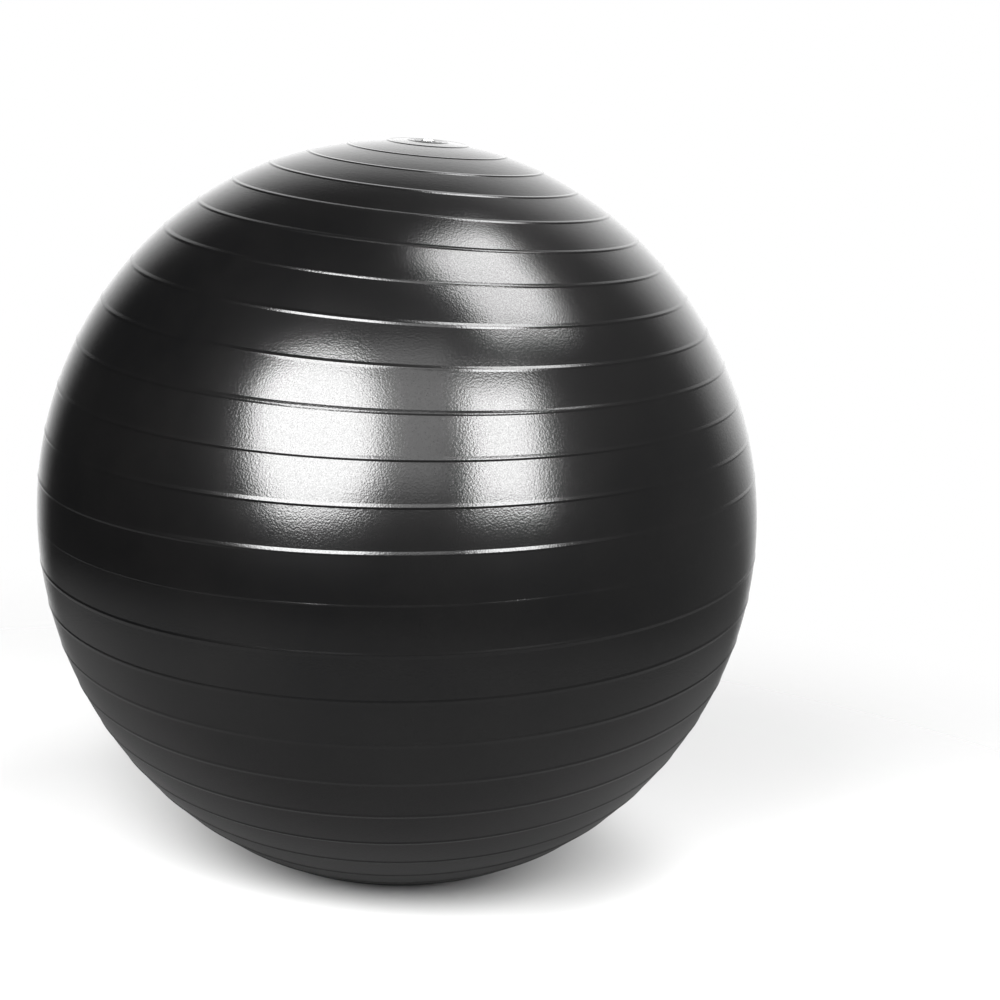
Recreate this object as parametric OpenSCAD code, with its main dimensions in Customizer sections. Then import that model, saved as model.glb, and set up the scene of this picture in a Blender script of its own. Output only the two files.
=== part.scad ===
// Inflated exercise ball with a moulded-in valve seat and a push-in plug.
// Millimetres, +Z up. The origin is the centre of the patch that the ball rests on.

/* [Ball] */
// Height of the ball when it stands on its contact patch
ball_h = 650; // [450:50:850]
// Width at the equator over the length from pole to pole
slimness = 0.964; // [0.94:0.002:0.998]
// Thickness of the wall once the ball is blown up
wall = 0.8; // [0.7:0.1:2]

/* [Ribs] */
// Raised ribs on each half of the ball
ribs = 13; // [9:1:14]
// Width of a rib at its foot
rib_w = 4.2; // [3:0.2:4.6]
// Height of a rib above the wall
rib_h = 0.55; // [0.4:0.05:1]
// Width of the moulding line round the equator
seam_w = 1.4; // [1:0.2:2]
// Height of the moulding line round the equator
seam_h = 0.4; // [0.2:0.1:0.6]
// Radius of the small rib that rings the valve
ring_r = 16.4; // [15.5:0.2:18]

/* [Valve seat] */
// Radius of the flange that shows on the outside
flange_r = 12; // [11:0.5:13]
// Thickness of the flange
flange_t = 2.4; // [2:0.2:3]
// Radius of the body under the flange
body_r = 8; // [7.5:0.25:9]
// Depth to which the ball's wall grips the body
grip_depth = 7; // [6:0.5:9]
// Depth of the whole seat, down to the end of its sleeve
seat_depth = 32; // [26:1:36]
// Radius of the sleeve at its inner end
sleeve_r = 4.4; // [4:0.2:5]

/* [Plug] */
// Length of the plug from its crown to its tip
plug_l = 50; // [46:1:56]
// Radius of the head
head_r = 4.5; // [4:0.1:5]
// Thickness of the head
head_t = 4; // [3.4:0.2:4.4]
// Radius of the stem under the head
stem_r = 2.6; // [2.4:0.1:2.8]
// Radius of the stem at its tip
tip_r = 1.4; // [1.2:0.1:1.8]
// Slope of the cut across the tip
tip_cut = 52; // [40:1:60]

/* [Hidden] */
$fn = 96;

// The outline of the ball is an oval of four arcs that meet at 45 degrees.
pitch = 90 / (ribs + 1);
rest_t = 1.09 * pitch;
arc_share = 1 / (2 - sqrt(2));
cap_share = 1 - arc_share * (1 - slimness);
pole_r = ball_h / (2 - cap_share * (1 - cos(rest_t)));
shift = arc_share * pole_r * (1 - slimness);
side_r = slimness * pole_r + shift;
cap_r = pole_r - shift;
mid_z = ball_h - pole_r;
ring_t = acos(ring_r / cap_r);

// Steps along the outline: plain runs between ribs, and shares of a rib's half width.
band_steps = 6;
rib_steps = [-1, -0.5, 0, 0.5, 1];
rib_power = 1.3;

// Inside of the wall: the collar round the seat, and where the wall meets the floor.
root_r = 20;
root_t = acos(root_r / (cap_r - wall));
foot_t = acos((cap_r * cos(rest_t) - wall) / (cap_r - wall)) - 90;
collar_extra = 2.2;
collar_steps = 6;
inner_steps = 72;

// The plug hangs in the seat with its head part way into a recess.
head_up = 1;
fit_gap = 0.05;
recess_gap = 0.35;
recess_depth = head_t - head_up + fit_gap;
seat_z = skin(acos(flange_r / cap_r))[1];
crown_z = seat_z + head_up;

// Edges of the seat: its lip, the bevels under the body and the end of the sleeve.
lip_h = 0.4;
lip_w = 1.9;
lip_edge = 0.5;
recess_edge = 0.3;
body_tail = 0.6;
body_bevel = 1;
body_bevel_h = 2;
sleeve_bevel = 0.6;
sleeve_bevel_h = 1;

// Edges of the plug: its low dome, round rim and undercut, and the block that trims the tip.
dome_h = 0.12;
rim_r = 0.8;
undercut = 0.9;
undercut_share = 0.45;
trim = 10;

// Point of the outline where its normal leans t degrees above the equator, moved out by d.
function skin(t, d = 0) = abs(t) < 45
    ? [(side_r + d) * cos(t) - shift, mid_z + (side_r + d) * sin(t)]
    : [(cap_r + d) * cos(t), mid_z + sign(t) * shift + (cap_r + d) * sin(t)];

// Half the angle that a raised line of width w takes on the outline.
function half_angle(w) = w / 2 / cap_r * 180 / PI;

// A raised line with a low crest, of width w and height h, at angle t.
function raised(t, w, h) =
    [for (s = rib_steps) skin(t + s * half_angle(w), h * (1 - pow(abs(s), rib_power)))];

// The line at step k from the equator: the moulding line at 0, and a rib at the others.
function line_at(k) = k == 0 ? raised(0, seam_w, seam_h) : raised(k * pitch, rib_w, rib_h);

// Plain wall between the line at step k and the next one.
function band_after(k) = [for (j = [1 : band_steps - 1]) skin((k + j / band_steps) * pitch)];

// Radius of the plug's stem at a depth below the crown.
function stem_at(depth) = stem_r + (tip_r - stem_r) * (depth - head_t) / (plug_l - head_t);

// Outside of the shell, from the contact patch up to the hole for the valve seat.
function shell_outside() = concat(
    [[0, 0], skin(rest_t - 90)],
    [for (k = [1 - ribs : ribs]) each concat(line_at(k), k < ribs ? band_after(k) : [])],
    [skin((ribs * pitch + ring_t) / 2)],
    raised(ring_t, rib_w, rib_h),
    [[flange_r, seat_z]]
);

// Step that holds the flange, and the thick collar that grips the body of the seat.
function shell_collar() =
    let (
        root = skin(root_t, -wall),
        foot = [body_r + collar_extra, seat_z - grip_depth]
    )
    concat(
        [
            [flange_r, seat_z - flange_t],
            [body_r, seat_z - flange_t],
            [body_r, seat_z - grip_depth]
        ],
        [for (j = [0 : collar_steps - 1]) let (u = 90 * j / collar_steps)
            [root[0] - (root[0] - foot[0]) * cos(u), foot[1] + (root[1] - foot[1]) * sin(u)]]
    );

// Inside of the shell, from the collar down to the contact patch.
function shell_inside() = concat(
    [for (j = [0 : inner_steps]) skin(root_t + (foot_t - root_t) * j / inner_steps, -wall)],
    [[0, wall]]
);

module ball_shell() {
    color("#1b1b1c")
    rotate_extrude()
    polygon(concat(shell_outside(), shell_collar(), shell_inside()));
}

// Soft moulding fused into the wall: flange, raised lip, recess for the head and a tapered sleeve.
module valve_seat() {
    recess_r = head_r + recess_gap;
    floor_z = seat_z - recess_depth;
    color("#202021")
    rotate_extrude()
    polygon([
        [recess_r, floor_z],
        [recess_r, seat_z - recess_edge],
        [recess_r + lip_edge, seat_z + lip_h],
        [recess_r + lip_w - lip_edge, seat_z + lip_h],
        [recess_r + lip_w, seat_z],
        [flange_r, seat_z],
        [flange_r, seat_z - flange_t],
        [body_r, seat_z - flange_t],
        [body_r, seat_z - grip_depth - body_tail],
        [body_r - body_bevel, seat_z - grip_depth - body_tail - body_bevel_h],
        [sleeve_r, seat_z - seat_depth + sleeve_bevel_h],
        [sleeve_r - sleeve_bevel, seat_z - seat_depth],
        [stem_at(seat_depth + head_up) + fit_gap, seat_z - seat_depth],
        [stem_at(head_t) + fit_gap, floor_z]
    ]);
}

// Tapered stopper with a round head that is undercut for a fork, and a tip cut on a slant.
module plug() {
    color("#f2f3f0")
    translate([0, 0, crown_z])
    difference() {
        rotate_extrude()
        polygon(concat(
            [for (q = [0, 0.4, 0.8]) [(head_r - rim_r) * q, dome_h * (1 - q * q)]],
            [for (u = [90 : -18 : 0]) [head_r - rim_r + rim_r * cos(u), rim_r * (sin(u) - 1)]],
            [
                [head_r, -head_t * undercut_share],
                [head_r - undercut, -head_t],
                [stem_r, -head_t],
                [tip_r, -plug_l],
                [0, -plug_l]
            ]
        ));
        translate([-tip_r, 0, -plug_l])
        rotate([0, 90 - tip_cut, 0])
        translate([0, -trim / 2, -trim])
        cube(trim);
    }
}

ball_shell();
valve_seat();
plug();
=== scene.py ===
import math

import bpy
import numpy as np
from mathutils import Matrix, Vector


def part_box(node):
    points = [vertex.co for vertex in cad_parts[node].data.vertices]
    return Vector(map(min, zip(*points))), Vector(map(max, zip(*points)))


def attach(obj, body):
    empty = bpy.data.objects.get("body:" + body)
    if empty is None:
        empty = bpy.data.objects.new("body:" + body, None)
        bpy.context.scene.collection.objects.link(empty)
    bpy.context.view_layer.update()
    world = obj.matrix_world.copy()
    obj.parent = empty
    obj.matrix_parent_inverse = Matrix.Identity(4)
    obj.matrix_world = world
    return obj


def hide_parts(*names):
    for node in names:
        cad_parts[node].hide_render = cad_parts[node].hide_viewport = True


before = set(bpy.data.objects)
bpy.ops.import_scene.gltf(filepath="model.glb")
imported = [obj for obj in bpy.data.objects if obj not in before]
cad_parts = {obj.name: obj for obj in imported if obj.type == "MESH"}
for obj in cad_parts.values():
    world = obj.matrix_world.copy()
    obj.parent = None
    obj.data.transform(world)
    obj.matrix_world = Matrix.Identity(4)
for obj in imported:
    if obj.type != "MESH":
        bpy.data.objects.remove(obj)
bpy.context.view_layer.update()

# -------------------------------- driving sizes, in metres and degrees
RIBS = 13                # raised ribs on each half
RIB_W = 0.0042           # a rib's width at its foot
RIB_H = 0.00055          # a rib's height
SEAM_W = 0.0014          # the moulding line round the equator
SEAM_H = 0.0004
SEAM_WORN = 0.00012      # what is left of the moulding line's height
RING_R = 0.0164          # the small rib round the valve
WALL = 0.0008
SLIMNESS = 0.964         # width at the equator over the length from pole to pole
PATCH_STEPS = 1.09       # half angle of the patch that the ball stands on, in steps from rib to rib
FLANGE_T = 0.0024        # step in the skin that the valve's flange lies in
COLLAR_R = 0.008         # the thick collar's bore
COLLAR_DEPTH = 0.007
COLLAR_FOOT = 0.0022
ROOT_R = 0.020           # where the collar runs out into the wall
COLUMNS = 240            # divisions round the ball
BAND_ROWS = 6            # divisions of the plain wall between two ribs
FOOT_ROWS = 2            # and between the contact patch and the lowest rib
COLLAR_TURN = 18         # degrees between the rows of the collar's rounded flank
INNER_ROWS = 48

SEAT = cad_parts["valve_seat"]
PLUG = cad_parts["plug"]

# -------------------------------- the ball's outline, worked out from the frame
shell_lo, shell_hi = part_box("ball_shell")
seat_lo, seat_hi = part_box("valve_seat")
PITCH = math.radians(90 / (RIBS + 1))
ARC_SHARE = 1 / (2 - math.sqrt(2))                     # the oval's four arcs meet at 45 degrees
SIDE_REACH = (shell_hi.x - shell_lo.x) / 2 - SEAM_H    # the box reaches out to the moulding line
POLE_R = SIDE_REACH / SLIMNESS
SHIFT = ARC_SHARE * POLE_R * (1 - SLIMNESS)
SIDE_R = SIDE_REACH + SHIFT
CAP_R = POLE_R - SHIFT
REST_T = PATCH_STEPS * PITCH
MID_Z = SHIFT + CAP_R * math.cos(REST_T)
FLANGE_R = (seat_hi.x - seat_lo.x) / 2
SEAT_Z = MID_Z + SHIFT + math.sqrt(CAP_R ** 2 - FLANGE_R ** 2)
CENTRE = Vector((0, 0, MID_Z))


def smooth(x, start, end):
    """0 before start, 1 after end, and a smooth rise between them."""
    s = np.clip((np.asarray(x, float) - start) / (end - start), 0, 1)
    return s * s * (3 - 2 * s)


def outline(t, out):
    """Radius and height of the oval where its normal leans t above the equator, moved out along it."""
    side = np.abs(t) < math.pi / 4
    lift = np.sign(t) * SHIFT
    r = np.where(side, (SIDE_R + out) * np.cos(t) - SHIFT, (CAP_R + out) * np.cos(t))
    z = np.where(side, (SIDE_R + out) * np.sin(t), lift + (CAP_R + out) * np.sin(t))
    return r, MID_Z + z


# -------------------------------- how the real ball strays from the perfect one
SLEW_SIDE = 4.4          # degrees that the ribs tilt sideways, from the shoulder down
SLEW_SHOULDER = 1.5      # degrees that they dip at the front under the shoulder
SLEW_FRONT = 0.112       # further degrees of dip for each degree below DIP_START
DIP_START = 6
DIP_BEHIND = 0.5         # share of the dip by which the ribs rise behind
DIP_SWING = 1.5          # and how much the share grows from there to the front
TURN_SOFTNESS = 0.04     # how softly the rise behind gives way to the dip at the front
LEAN = 0.0031            # how far the ball bulges to the upper left and the lower right of the front view
# Degrees along the outline between which a straying grows: upwards from the foot, or, where the name
# ends in DOWN, downwards from the valve, counted as minus the angle.
FOOT_RANGE = (-84, -58)
SIDE_DOWN = (-58, 2)
SHOULDER_DOWN = (-62, -32)
BULGE_DOWN = (-84, -62)


def slew(t, phi):
    """How far the ribs have wandered along the outline, in radians, where phi is 0 at the front."""
    deg = np.degrees(t)
    level_foot = smooth(deg, *FOOT_RANGE)
    side = SLEW_SIDE * smooth(-deg, *SIDE_DOWN)
    dip = SLEW_SHOULDER * smooth(-deg, *SHOULDER_DOWN) + SLEW_FRONT * np.clip(DIP_START - deg, 0, None)
    facing = (np.cos(phi) + np.sqrt(np.cos(phi) ** 2 + TURN_SOFTNESS)) / 2
    return np.radians(level_foot * (side * np.sin(phi) - dip * (DIP_SWING * facing - DIP_BEHIND)))


def bulge(t, phi):
    """How far the skin stands out from the perfect oval. It fades out at the foot and round the valve."""
    deg = np.degrees(t)
    free = smooth(deg, *FOOT_RANGE) * smooth(-deg, *BULGE_DOWN)
    return -LEAN * np.sin(2 * t) * np.sin(phi) * free


# -------------------------------- the skin
# A raised line's section, from its foot to its crest: share of its half width, share of its height.
LINE_SECTION = ((1.0, 0.0), (0.55, 0.47), (0.1, 0.95), (0.0, 1.0))
CREST_OFF = 0.2          # how far a rib's crest stands towards the equator, as a share of its half width
# The worn moulding line's height varies by products of two sines: how many waves of each go round the ball,
# where one of the two starts, in radians, and the product's share of the height.
SWELL_WAVES, SWELL_START, SWELL = (17, 41), 1, 0.35
FLECK_WAVES, FLECK_START, FLECK = (53, 29), 2, 0.5


def line_rows(t, width, height):
    """Rows across a raised line: angle, height and whether the row is a crisp edge, as its two feet are."""
    half = width / 2 / CAP_R
    off = -CREST_OFF * np.sign(t)
    lower = [(t + (off * up - share) * half, up * height, up == 0) for share, up in LINE_SECTION]
    upper = [(t + (off * up + share) * half, up * height, up == 0) for share, up in LINE_SECTION[-2::-1]]
    return lower + upper


def outer_rows():
    """Angle, height above the wall and crispness of each ring of points, from the foot to the valve."""
    rows = [(REST_T - math.pi / 2, 0.0, True)]
    for k in range(1 - RIBS, RIBS + 1):
        line = line_rows(0, SEAM_W, SEAM_WORN) if k == 0 else line_rows(k * PITCH, RIB_W, RIB_H)
        first, last = line[0][0], rows[-1][0]
        steps = BAND_ROWS if len(rows) > 1 else FOOT_ROWS
        rows += [(last + (first - last) * j / steps, 0.0, False) for j in range(1, steps)]
        rows += line
    ring = line_rows(math.acos(RING_R / CAP_R), RIB_W, RIB_H)
    rows.append(((rows[-1][0] + ring[0][0]) / 2, 0.0, False))
    return rows + ring


def flecks(phi):
    """Uneven height of the worn moulding line, as a share of its mean height."""
    swells = np.sin(SWELL_WAVES[0] * phi + SWELL_START) * np.sin(SWELL_WAVES[1] * phi)
    bumps = np.clip(np.sin(FLECK_WAVES[0] * phi) * np.sin(FLECK_WAVES[1] * phi + FLECK_START), 0, 1)
    return 1 + SWELL * swells + FLECK * bumps


def place(r, z, phi):
    return np.stack([r * np.sin(phi), -r * np.cos(phi), z], axis=-1)


def skin_rings():
    """Rings of points of the closed skin: outside upwards, over the collar, and inside downwards."""
    phi = np.linspace(0, 2 * math.pi, COLUMNS, endpoint=False)
    rings, sharp = [], []
    for t, out, crisp in outer_rows():
        if crisp:
            sharp.append(len(rings))
        bent = t + slew(np.full_like(phi, t), phi)
        if abs(t) < SEAM_W / CAP_R:
            out = out * flecks(phi)
        r, z = outline(bent, out + bulge(bent, phi))
        rings.append(place(r, np.maximum(z, 0), phi))
    for r, z in (
        (FLANGE_R, SEAT_Z),
        (FLANGE_R, SEAT_Z - FLANGE_T),
        (COLLAR_R, SEAT_Z - FLANGE_T),
        (COLLAR_R, SEAT_Z - COLLAR_DEPTH),
    ):
        sharp.append(len(rings))
        rings.append(place(np.full_like(phi, r), np.full_like(phi, z), phi))
    start = math.acos(ROOT_R / (CAP_R - WALL))
    root_r, root_z = outline(np.array(start), -WALL)
    foot_r, foot_z = COLLAR_R + COLLAR_FOOT, SEAT_Z - COLLAR_DEPTH
    for u in np.radians(np.arange(0, 90, COLLAR_TURN)):
        r = root_r - (root_r - foot_r) * math.cos(u)
        z = foot_z + (root_z - foot_z) * math.sin(u)
        rings.append(place(np.full_like(phi, r), np.full_like(phi, z), phi))
    for t in np.linspace(start, REST_T - math.pi / 2, INNER_ROWS):
        r, z = outline(np.full_like(phi, t), bulge(np.full_like(phi, t), phi) - WALL)
        rings.append(place(r, np.maximum(z, WALL), phi))
    return rings, sharp


def ring_mesh(name, rings, sharp, first_z, last_z):
    """Closed surface through the rings, with a point in the middle of each end. Sharp rings stay crisp."""
    count = len(rings)
    points = np.concatenate([np.array([[0, 0, first_z]])] + rings + [np.array([[0, 0, last_z]])])
    here = np.arange(COLUMNS)
    there = (here + 1) % COLUMNS
    faces = []
    for k in range(count - 1):
        a, b = 1 + k * COLUMNS, 1 + (k + 1) * COLUMNS
        faces.append(np.stack([a + here, a + there, b + there, b + here], axis=-1))
    quads = np.concatenate(faces)
    last = 1 + (count - 1) * COLUMNS
    caps = [[0, 1 + int(j), 1 + int(i)] for i, j in zip(here, there)]
    caps += [[last + int(i), last + int(j), len(points) - 1] for i, j in zip(here, there)]
    mesh = bpy.data.meshes.new(name)
    mesh.from_pydata(points.tolist(), [], quads.tolist() + caps)
    mesh.validate()
    mesh.update()
    mesh.shade_smooth()
    ends = np.zeros(len(mesh.edges) * 2, int)
    mesh.edges.foreach_get("vertices", ends)
    ring_of = (ends.reshape(-1, 2) - 1) // COLUMNS
    crisp = (ring_of[:, 0] == ring_of[:, 1]) & np.isin(ring_of[:, 0], sharp)
    mesh.attributes.new("sharp_edge", "BOOLEAN", "EDGE").data.foreach_set("value", crisp)
    piece = bpy.data.objects.new(name, mesh)
    bpy.context.scene.collection.objects.link(piece)
    return piece


# -------------------------------- node helpers
def new_material(name):
    mat = bpy.data.materials.new(name)
    mat.use_nodes = True
    tree = mat.node_tree
    return mat, tree, tree.nodes["Principled BSDF"]


def node(tree, kind, **settings):
    made = tree.nodes.new(kind)
    for key, value in settings.items():
        if hasattr(made, key):
            setattr(made, key, value)
        else:
            made.inputs[key.replace("_", " ")].default_value = value
    return made


def math_node(tree, operation, a, b=None):
    made = tree.nodes.new("ShaderNodeMath")
    made.operation = operation
    for socket, value in zip(made.inputs, (a, b)):
        if value is None:
            continue
        if isinstance(value, (int, float)):
            socket.default_value = value
        else:
            tree.links.new(value, socket)
    return made.outputs[0]


def noise(tree, coords, scale, detail=2.0, roughness=0.5, distortion=0.0):
    made = node(tree, "ShaderNodeTexNoise", Scale=scale, Detail=detail, Roughness=roughness,
                Distortion=distortion)
    tree.links.new(coords, made.inputs["Vector"])
    return made.outputs["Fac"]


def cells(tree, coords, scale, smoothness=0.6):
    made = tree.nodes.new("ShaderNodeTexVoronoi")
    made.feature = "SMOOTH_F1"
    made.inputs["Scale"].default_value = scale
    made.inputs["Smoothness"].default_value = smoothness
    tree.links.new(coords, made.inputs["Vector"])
    return made.outputs["Distance"]


def ramp(tree, value, low, high, to_low, to_high):
    made = node(tree, "ShaderNodeMapRange", From_Min=low, From_Max=high, To_Min=to_low, To_Max=to_high)
    tree.links.new(value, made.inputs["Value"])
    return made.outputs[0]


def grey_mix(tree, factor, dark, light):
    made = tree.nodes.new("ShaderNodeMix")
    made.data_type = "RGBA"
    tree.links.new(factor, made.inputs["Factor"])
    made.inputs["A"].default_value = (*dark, 1)
    made.inputs["B"].default_value = (*light, 1)
    return made.outputs["Result"]


def bump(tree, height, distance):
    made = node(tree, "ShaderNodeBump", Strength=1.0, Distance=distance)
    tree.links.new(height, made.inputs["Height"])
    return made.outputs["Normal"]


# -------------------------------- materials
# A noise keeps near 0.5, so one of the first two ranges of it is stretched to the range that is wanted.
# Pairs are (low, high) or (dark, light).
NOISE_MIDDLE = (0.3, 0.7)
NOISE_WIDE = (0.25, 0.75)
BALL_TONES = ((0.0014, 0.0014, 0.0015), (0.0026, 0.0025, 0.0025))
BALL_ROUGHNESS = (0.10, 0.145)
BALL_SHINE = (0.30, 0.55)
BALL_HAZE = 0.16            # weight of the dull coat that spreads a faint skirt round each highlight
BALL_HAZE_ROUGHNESS = 0.34
BALL_PEBBLES = 1.2          # share of the pebbles in the grain, beside the fine noise
BALL_GRAIN_DEPTH = 0.00005
VALVE_TONES = ((0.006, 0.006, 0.0063), (0.011, 0.011, 0.011))
VALVE_ROUGHNESS = (0.20, 0.28)
VALVE_GRAIN_DEPTH = 0.00006
PLUG_TONES = ((0.80, 0.81, 0.78), (0.88, 0.89, 0.86))
PLUG_ROUGHNESS = (0.30, 0.44)
PLUG_WAX = 0.25             # how much light passes under the surface
PLUG_WAX_DEPTH = (0.002, 0.002, 0.0018)
PLUG_GRAIN_DEPTH = 0.00003


def ball_pvc():
    """Black soft PVC: a fine leathery grain, faint cloudy wear and a satin shine."""
    mat, tree, shader = new_material("ball_pvc")
    coords = node(tree, "ShaderNodeTexCoord").outputs["Object"]
    clouds = noise(tree, coords, scale=9, detail=4, roughness=0.6)
    fine = noise(tree, coords, scale=1100, detail=2, roughness=0.6)
    pebbles = cells(tree, coords, scale=620)
    wear = ramp(tree, clouds, *NOISE_MIDDLE, 0, 1)
    tree.links.new(grey_mix(tree, wear, *BALL_TONES), shader.inputs["Base Color"])
    tree.links.new(ramp(tree, clouds, *NOISE_WIDE, *BALL_ROUGHNESS), shader.inputs["Roughness"])
    tree.links.new(ramp(tree, fine, *NOISE_MIDDLE, *BALL_SHINE), shader.inputs["Specular IOR Level"])
    shader.inputs["Coat Weight"].default_value = BALL_HAZE
    shader.inputs["Coat Roughness"].default_value = BALL_HAZE_ROUGHNESS
    grain = math_node(tree, "ADD", math_node(tree, "MULTIPLY", pebbles, BALL_PEBBLES), fine)
    tree.links.new(bump(tree, grain, BALL_GRAIN_DEPTH), shader.inputs["Normal"])
    return mat


def valve_pvc():
    """The same plastic as the ball, moulded smooth."""
    mat, tree, shader = new_material("valve_pvc")
    coords = node(tree, "ShaderNodeTexCoord").outputs["Object"]
    clouds = noise(tree, coords, scale=120, detail=3)
    fine = noise(tree, coords, scale=1400, detail=2)
    tree.links.new(grey_mix(tree, clouds, *VALVE_TONES), shader.inputs["Base Color"])
    tree.links.new(ramp(tree, clouds, *NOISE_MIDDLE, *VALVE_ROUGHNESS), shader.inputs["Roughness"])
    tree.links.new(bump(tree, fine, VALVE_GRAIN_DEPTH), shader.inputs["Normal"])
    return mat


def plug_plastic():
    """White polyethylene, slightly waxy, with faint flow marks from the mould."""
    mat, tree, shader = new_material("plug_plastic")
    coords = node(tree, "ShaderNodeTexCoord").outputs["Object"]
    flow = noise(tree, coords, scale=260, detail=3, distortion=0.8)
    fine = noise(tree, coords, scale=2600, detail=1)
    tree.links.new(grey_mix(tree, flow, *PLUG_TONES), shader.inputs["Base Color"])
    tree.links.new(ramp(tree, flow, *NOISE_MIDDLE, *PLUG_ROUGHNESS), shader.inputs["Roughness"])
    shader.inputs["Subsurface Weight"].default_value = PLUG_WAX
    shader.inputs["Subsurface Radius"].default_value = PLUG_WAX_DEPTH
    tree.links.new(bump(tree, fine, PLUG_GRAIN_DEPTH), shader.inputs["Normal"])
    return mat


def dress(piece, mat):
    piece.data.materials.clear()
    piece.data.materials.append(mat)


rings, sharp_rings = skin_rings()
skin = ring_mesh("ball_skin", rings, sharp_rings, 0.0, WALL)
dress(skin, ball_pvc())
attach(skin, "ball")
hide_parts("ball_shell")
dress(SEAT, valve_pvc())
dress(PLUG, plug_plastic())

# -------------------------------- camera
CAMERA_AWAY = 9.03 * SIDE_REACH   # distance from the ball's centre
CAMERA_ABOVE = 11.4               # degrees above the level of the centre
CAMERA_ROLL = 4.6                 # degrees that the picture turns clockwise
LENS = 116.35                     # millimetres
SENSOR = 36                       # width of the sensor in millimetres
FAR = 100                         # metres up to which the camera sees
AIM_RIGHT = 1.804                 # degrees from the ball's centre to the middle of the picture
AIM_UP = 0.207


def add_camera():
    data = bpy.data.cameras.new("camera")
    data.lens = LENS
    data.sensor_width = SENSOR
    cam = bpy.data.objects.new("camera", data)
    bpy.context.scene.collection.objects.link(cam)
    lean = math.radians(CAMERA_ABOVE)
    back = Vector((0, -math.cos(lean), math.sin(lean)))
    turn = (-back).to_track_quat("-Z", "Y").to_matrix().to_4x4()
    turn = turn @ Matrix.Rotation(math.radians(CAMERA_ROLL), 4, "Z")
    turn = turn @ Matrix.Rotation(math.radians(-AIM_RIGHT), 4, "Y")
    turn = turn @ Matrix.Rotation(math.radians(AIM_UP), 4, "X")
    cam.matrix_world = Matrix.Translation(CENTRE + back * CAMERA_AWAY) @ turn
    data.clip_end = FAR
    bpy.context.scene.camera = cam


# -------------------------------- studio
FLOOR_R = 1.2
FLOOR_SIDES = 96
FLOOR_FADE = 0.35         # share of the floor's radius at which it begins to fade out
FLOOR_SEEN = 0.55         # how pale the floor looks to the camera
FLOOR_IN_BALL = 0.09      # and in the ball's shine, before the two changes that follow
# Each change is painted light on the floor as the ball reflects it: the first lifts the tone near the
# middle, where the ball's shadow falls, and the second makes it brighter to the sides. Each change: from and
# to, in metres from the middle, and what the tone is multiplied by at either end.
FLOOR_PAINTED_LIGHT_NEAR = (0.25, 0.5, 1.22, 1.0)
FLOOR_PAINTED_LIGHT_BESIDE = (0.1, 0.9, 1.0, 1.6)
THINNEST_FADE = 0.001     # a light's edge that should be sharp
LIGHT_ROUNDNESS = 2.8     # 2 would be an ellipse, and more is squarer
# The white backdrop behind the ball, in parts of a unit direction: its middle leans to the right and up, and
# its lower edge rises to the right.
BACKDROP_LEAN = (0.12, 0.2)
BACKDROP_EDGE = (0.66, 1.05)
BACKDROP_GLOW = 1.7
HORIZON_RISE = 0.45
HORIZON_EDGE = (-0.5, -0.12)
ROOM_TONES = (-0.3, 1.0, 0.03, 0.22)    # the dark room: from and to along x, and the tone at each
# Each light: name, azimuth, elevation, distance, span, radiance, fades and tilt, in degrees and metres.
LIGHTS = (
    ("key_left", -30, 27, 2.4, (-0.86, 0.98, -1.13, 1.13), 24.5, 0.27, 19),
    ("key_right", 38, 29, 2.4, (-0.6, 0.45, -0.88, 0.9), 23, (0.01, 0.3, 0.14, 0.25), -6),
    ("overhead", 100, 65, 2.0, (-0.82, 0.68, -0.18, 0.94), 15, (0.22, 0.28, 0.3, 0.2), 42),
    ("fill_card", 5, 36, 3.2, (-0.9, 0.7, -1.6, 1.7), 2.8, (0.2, 0.2, 0.3, 0.3), 0),
)


def direction(azimuth, elevation):
    """Unit vector; azimuth 0 points from the ball to the camera's side, and grows to the right."""
    a, e = math.radians(azimuth), math.radians(elevation)
    return Vector((math.sin(a) * math.cos(e), -math.cos(a) * math.cos(e), math.sin(e)))


def smooth_ramp(tree, value, low, high, top=1.0):
    """0 up to low, rising smoothly to top at high."""
    fade = node(tree, "ShaderNodeMapRange", From_Min=low, From_Max=high, To_Min=0.0, To_Max=top)
    fade.interpolation_type = "SMOOTHSTEP"
    tree.links.new(value, fade.inputs["Value"])
    return fade.outputs[0]


def soft_edge(tree, value, width):
    return smooth_ramp(tree, value, 0.0, max(width, THINNEST_FADE))


def fade_box(tree, u, v, fades):
    """Brightness of a box whose left, right, lower and upper fades are shares of its size."""
    left, right, low, high = fades
    across = math_node(tree, "MULTIPLY", soft_edge(tree, u, left),
                       soft_edge(tree, math_node(tree, "SUBTRACT", 1.0, u), right))
    along = math_node(tree, "MULTIPLY", soft_edge(tree, v, low),
                      soft_edge(tree, math_node(tree, "SUBTRACT", 1.0, v), high))
    return math_node(tree, "MULTIPLY", across, along)


def fade_round(tree, u, v, fade):
    """Brightness of a light with round corners that fades over the outer share of its size."""
    du = math_node(tree, "MULTIPLY", math_node(tree, "SUBTRACT", u, 0.5), 2.0)
    dv = math_node(tree, "MULTIPLY", math_node(tree, "SUBTRACT", v, 0.5), 2.0)
    powers = [math_node(tree, "POWER", math_node(tree, "ABSOLUTE", d), LIGHT_ROUNDNESS) for d in (du, dv)]
    away = math_node(tree, "POWER", math_node(tree, "ADD", *powers), 1 / LIGHT_ROUNDNESS)
    return soft_edge(tree, math_node(tree, "SUBTRACT", 1.0, away), fade)


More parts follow.
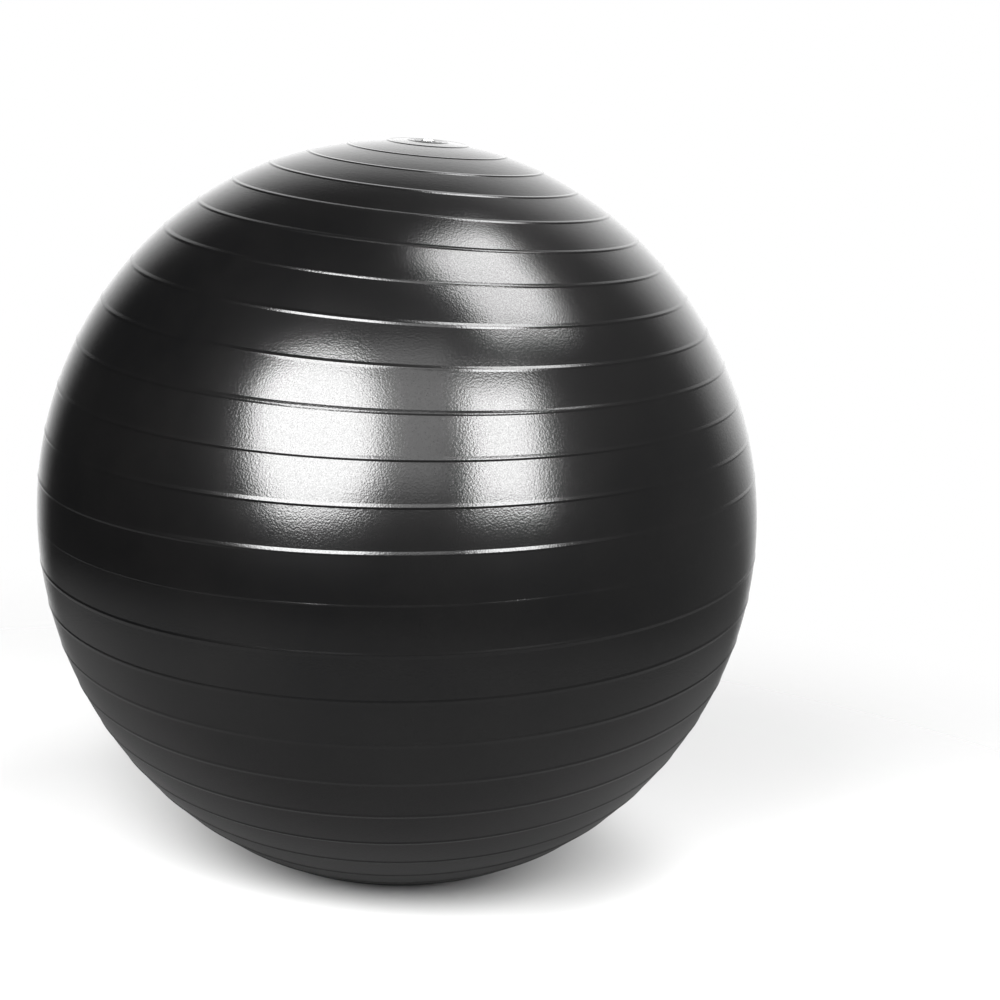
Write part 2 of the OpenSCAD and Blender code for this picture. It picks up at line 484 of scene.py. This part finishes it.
def softbox(name, azimuth, elevation, away, span, radiance, fades, tilt):
    """Area light on a plane that faces the ball. Its span on that plane is (left, right, low, high), in
    metres, after the plane's axes are tilted by so many degrees. Its fades are one number for a light with
    round corners, and four, for the left, right, lower and upper edge, for a box."""
    left, right, low, high = span
    data = bpy.data.lights.new(name, "AREA")
    data.shape = "RECTANGLE"
    data.size = right - left
    data.size_y = high - low
    data.energy = radiance * math.pi * data.size * data.size_y
    data.use_nodes = True
    tree = data.node_tree
    spot = tree.nodes.new("ShaderNodeNewGeometry").outputs["Parametric"]
    split = tree.nodes.new("ShaderNodeSeparateXYZ")
    tree.links.new(spot, split.inputs[0])
    u, v = split.outputs["X"], split.outputs["Y"]
    glow = fade_round(tree, u, v, fades) if isinstance(fades, float) else fade_box(tree, u, v, fades)
    tree.links.new(glow, tree.nodes["Emission"].inputs["Strength"])
    lamp = bpy.data.objects.new(name, data)
    bpy.context.scene.collection.objects.link(lamp)
    towards = direction(azimuth, elevation)
    turn = towards.to_track_quat("Z", "Y").to_matrix().to_4x4()
    middle = Matrix.Translation(((left + right) / 2, (low + high) / 2, 0))
    turn = turn @ Matrix.Rotation(math.radians(tilt), 4, "Z")
    lamp.matrix_world = Matrix.Translation(CENTRE + towards * away) @ turn @ middle


def add_world():
    """White all round to the camera. To surfaces, a white backdrop behind and a dark room in front."""
    world = bpy.data.worlds.new("studio")
    bpy.context.scene.world = world
    world.use_nodes = True
    tree = world.node_tree
    base = tree.nodes["Background"]
    base.inputs["Color"].default_value = (1, 1, 1, 1)
    spot = tree.nodes.new("ShaderNodeTexCoord").outputs["Generated"]
    split = tree.nodes.new("ShaderNodeSeparateXYZ")
    tree.links.new(spot, split.inputs[0])
    x, y, z = split.outputs
    turned = math_node(tree, "ADD", y, math_node(tree, "MULTIPLY", x, BACKDROP_LEAN[0]))
    turned = math_node(tree, "ADD", turned, math_node(tree, "MULTIPLY", z, BACKDROP_LEAN[1]))
    behind = smooth_ramp(tree, turned, *BACKDROP_EDGE, BACKDROP_GLOW)
    height = math_node(tree, "SUBTRACT", z, math_node(tree, "MULTIPLY", x, HORIZON_RISE))
    above = smooth_ramp(tree, height, *HORIZON_EDGE)
    backdrop = math_node(tree, "MULTIPLY", behind, above)
    room = math_node(tree, "ADD", backdrop, ramp(tree, x, *ROOM_TONES))
    seen = tree.nodes.new("ShaderNodeLightPath").outputs["Is Camera Ray"]
    unseen = math_node(tree, "MULTIPLY", room, math_node(tree, "SUBTRACT", 1.0, seen))
    tree.links.new(math_node(tree, "ADD", unseen, seen), base.inputs["Strength"])


def add_floor():
    """A disc of paper that fades out into the white around it. It looks darker in the ball than directly. In
    the ball its tone carries painted light: brighter near the middle, against the ball's shadow, and
    brighter to the sides.
    """
    mesh = bpy.data.meshes.new("floor")
    turns = np.linspace(0, 2 * math.pi, FLOOR_SIDES, False)
    rim = [(FLOOR_R * math.cos(a), FLOOR_R * math.sin(a), 0) for a in turns]
    mesh.from_pydata(rim, [], [list(range(FLOOR_SIDES))])
    floor = bpy.data.objects.new("floor", mesh)
    bpy.context.scene.collection.objects.link(floor)
    mat, tree, shader = new_material("floor_paper")
    coords = node(tree, "ShaderNodeTexCoord").outputs["Object"]
    seen = tree.nodes.new("ShaderNodeLightPath").outputs["Is Camera Ray"]
    length = tree.nodes.new("ShaderNodeVectorMath")
    length.operation = "LENGTH"
    tree.links.new(coords, length.inputs[0])
    split = tree.nodes.new("ShaderNodeSeparateXYZ")
    tree.links.new(coords, split.inputs[0])
    # Painted light: the floor's tone in the ball is lifted near the middle, where the ball's shadow falls,
    # and towards the sides.
    near = ramp(tree, length.outputs["Value"], *FLOOR_PAINTED_LIGHT_NEAR)
    beside = ramp(tree, math_node(tree, "ABSOLUTE", split.outputs["X"]), *FLOOR_PAINTED_LIGHT_BESIDE)
    tone = math_node(tree, "MULTIPLY", math_node(tree, "MULTIPLY", near, beside), FLOOR_IN_BALL)
    lift = math_node(tree, "MULTIPLY", seen, FLOOR_SEEN)
    unseen = math_node(tree, "MULTIPLY", tone, math_node(tree, "SUBTRACT", 1.0, seen))
    tree.links.new(math_node(tree, "ADD", lift, unseen), shader.inputs["Base Color"])
    shader.inputs["Roughness"].default_value = 1.0
    shader.inputs["Specular IOR Level"].default_value = 0.0
    fade = smooth_ramp(tree, length.outputs["Value"], FLOOR_R * FLOOR_FADE, FLOOR_R)
    clear = tree.nodes.new("ShaderNodeBsdfTransparent")
    mix = tree.nodes.new("ShaderNodeMixShader")
    tree.links.new(fade, mix.inputs[0])
    tree.links.new(shader.outputs[0], mix.inputs[1])
    tree.links.new(clear.outputs[0], mix.inputs[2])
    tree.links.new(mix.outputs[0], tree.nodes["Material Output"].inputs["Surface"])
    dress(floor, mat)


add_camera()
for light in LIGHTS:
    softbox(*light)
add_world()
add_floor()
bpy.context.scene.view_settings.view_transform = "Standard"
